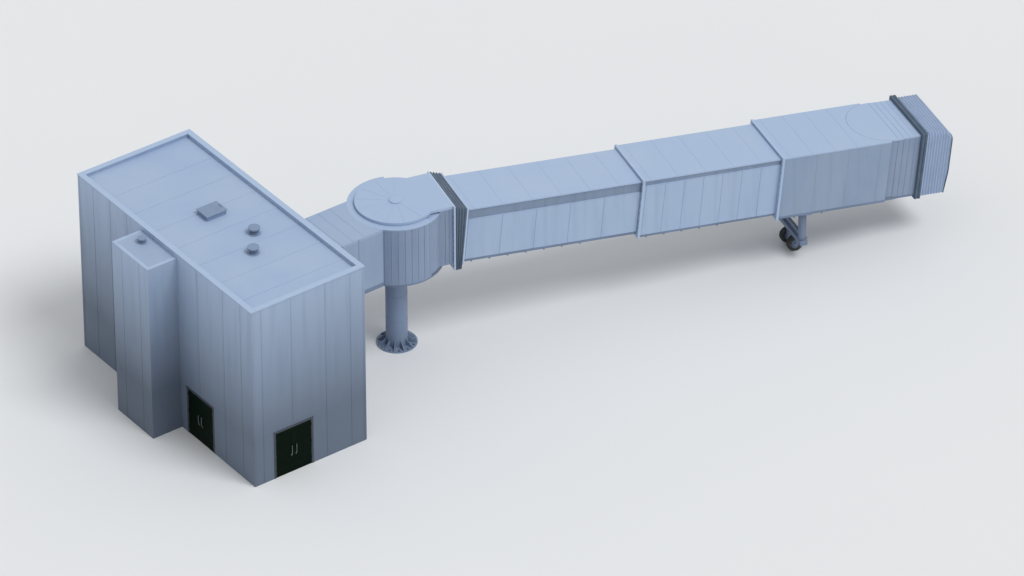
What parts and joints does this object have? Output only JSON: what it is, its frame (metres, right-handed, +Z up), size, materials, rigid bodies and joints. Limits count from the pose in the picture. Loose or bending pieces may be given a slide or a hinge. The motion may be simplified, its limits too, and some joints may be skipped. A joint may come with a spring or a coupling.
{
  "type": "jet bridge",
  "caption": "Passenger boarding bridge: a gate block, a round rotunda on a column and sloping telescopic tunnels that end in a turning cab with a canopy.",
  "frame": {"origin": "on the ground at the rotunda column's axis, on the underside of its foot plate", "axes": "+X along the tunnels at rest, towards the aircraft; +Z up"},
  "size_m": [36.2646, 13.0866, 8.49],
  "materials": {
    "roof_blue": "matt paint",
    "side_blue": "matt paint",
    "frame_blue": "satin paint",
    "steel_blue": "satin paint",
    "floor_grey": "matt floor",
    "door_black": "satin paint",
    "dark_seal": "matt rubber",
    "tyre": "matt rubber"
  },
  "bodies": {
    "gate": {"ground_floor": "floor_grey", "west_wall": "side_blue", "south_wall": "side_blue", "door_lintels": "side_blue", "east_wall": "side_blue", "north_wall": "side_blue", "upper_floor": "floor_grey", "block_roof": "roof_blue", "parapet_coping": "frame_blue", "roof_vents": "steel_blue", "annex_walls": "side_blue", "annex_roof": "roof_blue", "door_frames": "steel_blue", "link_floor": "floor_grey", "link_walls": "side_blue", "link_roof": "roof_blue", "column": "steel_blue", "rotunda_floor": "floor_grey", "drum_shell": "side_blue"},
    "west_leaf_north": {"west_door_north": "door_black"},
    "west_leaf_south": {"west_door_south": "door_black"},
    "south_leaf_west": {"south_door_west": "door_black"},
    "south_leaf_east": {"south_door_east": "door_black"},
    "swing_frame": {"slewing_collar": "steel_blue", "vestibule_floor": "floor_grey", "threshold_plate": "steel_blue", "vestibule_portal": "frame_blue", "vestibule_walls": "side_blue", "drum_curtains": "side_blue", "turning_roof": "roof_blue", "tunnel_seal": "dark_seal"},
    "tunnel_a": {"tunnel_a_floor": "floor_grey", "tunnel_a_walls": "side_blue", "tunnel_a_roof": "roof_blue", "tunnel_a_collar": "frame_blue"},
    "tunnel_b": {"tunnel_b_floor": "floor_grey", "tunnel_b_walls": "side_blue", "tunnel_b_roof": "roof_blue", "tunnel_b_collar": "frame_blue"},
    "tunnel_c": {"tunnel_c_floor": "floor_grey", "tunnel_c_walls": "side_blue", "tunnel_c_roof": "roof_blue", "tunnel_c_collar": "frame_blue"},
    "lift_frame": {"lift_tubes": "steel_blue"},
    "lift_beam": {"lift_crossbeam": "steel_blue"},
    "bogie_frame": {"bogie": "steel_blue"},
    "north_wheel": {"wheel_north": "tyre"},
    "south_wheel": {"wheel_south": "tyre"},
    "cab": {"cab_floor": "floor_grey", "cab_walls": "side_blue", "cab_roof": "roof_blue", "cab_seal": "dark_seal", "cab_bumper": "dark_seal"},
    "canopy_hood": {"canopy": "side_blue"}
  },
  "joints": [
    {"name": "west_door_north_hinge", "type": "hinge", "parent": "gate", "child": "west_leaf_north", "pos_m": [-10.0269, -2.5924, 0], "axis": [0, 0, -1], "range_deg": [0, 105]},
    {"name": "west_door_south_hinge", "type": "hinge", "parent": "gate", "child": "west_leaf_south", "pos_m": [-9.63, -4.2454, 0], "axis": [0, 0, 1], "range_deg": [0, 105]},
    {"name": "south_door_west_hinge", "type": "hinge", "parent": "gate", "child": "south_leaf_west", "pos_m": [-7.9334, -6.8359, 0], "axis": [0, 0, -1], "range_deg": [0, 105]},
    {"name": "south_door_east_hinge", "type": "hinge", "parent": "gate", "child": "south_leaf_east", "pos_m": [-6.2804, -6.439, 0], "axis": [0, 0, 1], "range_deg": [0, 105]},
    {"name": "rotunda_swing", "type": "hinge", "parent": "gate", "child": "swing_frame", "pos_m": [0, 0, 4.25], "axis": [0, 0, 1], "range_deg": [-21, 38]},
    {"name": "tunnel_pitch", "type": "hinge", "parent": "swing_frame", "child": "tunnel_a", "pos_m": [2.15, 0, 4.01], "axis": [0, -1, 0], "range_deg": [0, 3.5]},
    {"name": "tunnel_b_slide", "type": "slide", "parent": "tunnel_a", "child": "tunnel_b", "axis": [0.9962, 0, -0.0872], "range_m": [-2.2, 0.4]},
    {"name": "tunnel_c_slide", "type": "slide", "parent": "tunnel_b", "child": "tunnel_c", "axis": [0.9962, 0, -0.0872], "range_m": [-2.2, 0.4]},
    {"name": "leg_level", "type": "hinge", "parent": "tunnel_c", "child": "lift_frame", "pos_m": [17.6688, 0, 2.4013], "axis": [0, -1, 0], "range_deg": [-3.5, 0]},
    {"name": "leg_lift", "type": "slide", "parent": "lift_frame", "child": "lift_beam", "axis": [0, 0, -1], "range_m": [0, 0.949]},
    {"name": "bogie_steer", "type": "hinge", "parent": "lift_beam", "child": "bogie_frame", "pos_m": [17.6688, 0, 0.73], "axis": [0, 0, 1], "range_deg": [-90, 90]},
    {"name": "north_wheel_spin", "type": "hinge", "parent": "bogie_frame", "child": "north_wheel", "pos_m": [17.6688, 0.34, 0.36], "axis": [0, 1, 0], "continuous": true},
    {"name": "south_wheel_spin", "type": "hinge", "parent": "bogie_frame", "child": "south_wheel", "pos_m": [17.6688, -0.34, 0.36], "axis": [0, 1, 0], "continuous": true},
    {"name": "cab_turn", "type": "hinge", "parent": "tunnel_c", "child": "cab", "pos_m": [21.4246, 0, 2.3036], "axis": [0.0872, 0, 0.9962], "range_deg": [-25, 25]},
    {"name": "canopy_slide", "type": "slide", "parent": "cab", "child": "canopy_hood", "axis": [0.9962, 0, -0.0872], "range_m": [0, 0.5]}
  ],
  "couplings": [
    {"joint": "tunnel_c_slide", "follows": "tunnel_b_slide", "ratio": 1},
    {"joint": "leg_level", "follows": "tunnel_pitch", "ratio": -1},
    {"joint": "leg_lift", "follows": "tunnel_pitch", "m_per_rad": 15.519}
  ]
}
